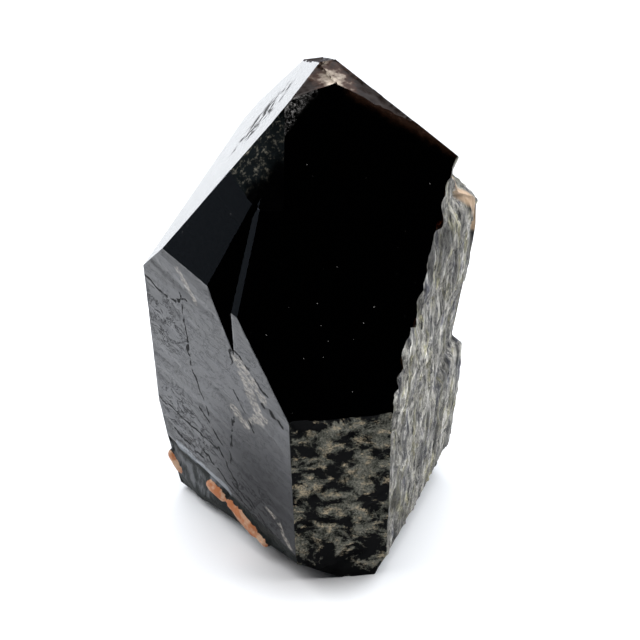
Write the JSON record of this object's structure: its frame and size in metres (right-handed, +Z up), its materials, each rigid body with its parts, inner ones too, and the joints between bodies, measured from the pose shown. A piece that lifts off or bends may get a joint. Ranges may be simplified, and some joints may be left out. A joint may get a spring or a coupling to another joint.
{
  "type": "morion quartz point",
  "caption": "Black smoky quartz crystal with a pointed tip, flat glossy faces, a rough flaky side and a narrower crystal grown along one side, leaning on a broken base.",
  "frame": {"origin": "centre of the bounding box, on the ground", "axes": "+Z up, close to the crystal's long axis, which leans 13 degrees forward; -Y towards the front prism face"},
  "size_m": [0.0522, 0.0736, 0.0808],
  "materials": {
    "morion": "polished"
  },
  "bodies": {
    "root": {"morion_crystal": "morion"}
  },
  "joints": []
}
